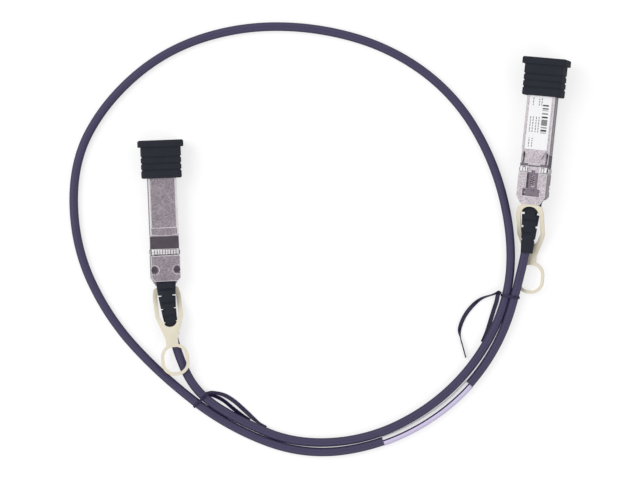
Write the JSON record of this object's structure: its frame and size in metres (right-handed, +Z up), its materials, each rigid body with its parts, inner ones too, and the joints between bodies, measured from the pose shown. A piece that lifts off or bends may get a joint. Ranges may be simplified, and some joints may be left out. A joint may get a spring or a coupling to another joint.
{
  "type": "direct attach copper cable",
  "caption": "Coiled twinaxial copper cable with a pluggable module plug on each end, pull-tab latches, strain-relief boots, dust caps and twist ties.",
  "frame": {"origin": "on the surface that the cable lies on, under the middle of the two plugs' extent", "axes": "+Z up from the surface, +X from the left plug to the right plug, +Y the way both plugs point, away from the tied bundle"},
  "size_m": [0.24, 0.2086, 0.0196],
  "materials": {
    "zinc_shell": "satin nickel plating over die-cast zinc",
    "spring_steel": "nickel-plated spring steel",
    "screw_steel": "plated steel",
    "board": "green solder mask over glass-epoxy",
    "gold": "gold plating on copper pads",
    "chip": "black moulding compound",
    "copper_sleeve": "crimped copper alloy",
    "pair_foil": "foil-wrapped twin conductors",
    "boot_rubber": "soft dark grey elastomer",
    "tab_nylon": "cream moulded nylon",
    "cap_rubber": "soft black elastomer",
    "jacket": "dark grey cable jacket",
    "label_paper": "white film label",
    "tie": "black plastic-covered wire"
  },
  "bodies": {
    "cable_assembly": {"cable_jacket": "jacket", "left_bottom_shell": "zinc_shell", "left_circuit_board": "board", "left_cover_screws": "screw_steel", "left_crimp_ferrule": "copper_sleeve", "left_edge_contacts": "gold", "left_emi_gasket": "spring_steel", "left_memory_chip": "chip", "left_return_spring": "spring_steel", "left_signal_pairs": "pair_foil", "left_strain_relief_boot": "boot_rubber", "left_top_shell": "zinc_shell", "left_twist_tie": "tie", "right_bottom_shell": "zinc_shell", "right_circuit_board": "board", "right_cover_screws": "screw_steel", "right_crimp_ferrule": "copper_sleeve", "right_edge_contacts": "gold", "right_emi_gasket": "spring_steel", "right_memory_chip": "chip", "right_return_spring": "spring_steel", "right_signal_pairs": "pair_foil", "right_strain_relief_boot": "boot_rubber", "right_top_shell": "zinc_shell", "right_twist_tie": "tie", "right_type_label": "label_paper", "wrap_label": "label_paper"},
    "left_release": {"left_pull_tab": "tab_nylon", "left_latch_slider": "spring_steel"},
    "left_cap": {"left_dust_cap": "cap_rubber"},
    "right_release": {"right_pull_tab": "tab_nylon", "right_latch_slider": "spring_steel"},
    "right_cap": {"right_dust_cap": "cap_rubber"}
  },
  "joints": [
    {"name": "left_tab_pull", "type": "slide", "parent": "cable_assembly", "child": "left_release", "axis": [0.0384, -0.9985, -0.0384], "range_m": [0, 0.0025], "stiffness_N_per_m": 300, "springref_m": -0.003, "deforming": ["left_return_spring"]},
    {"name": "left_cap_pull", "type": "slide", "parent": "cable_assembly", "child": "left_cap", "axis": [-0.0384, 0.9985, 0.0384], "range_m": [0, 0.016]},
    {"name": "right_tab_pull", "type": "slide", "parent": "cable_assembly", "child": "right_release", "axis": [-0.1009, -0.9937, -0.0482], "range_m": [0, 0.0025], "stiffness_N_per_m": 300, "springref_m": -0.003, "deforming": ["right_return_spring"]},
    {"name": "right_cap_pull", "type": "slide", "parent": "cable_assembly", "child": "right_cap", "axis": [0.1009, 0.9937, 0.0482], "range_m": [0, 0.016]}
  ]
}
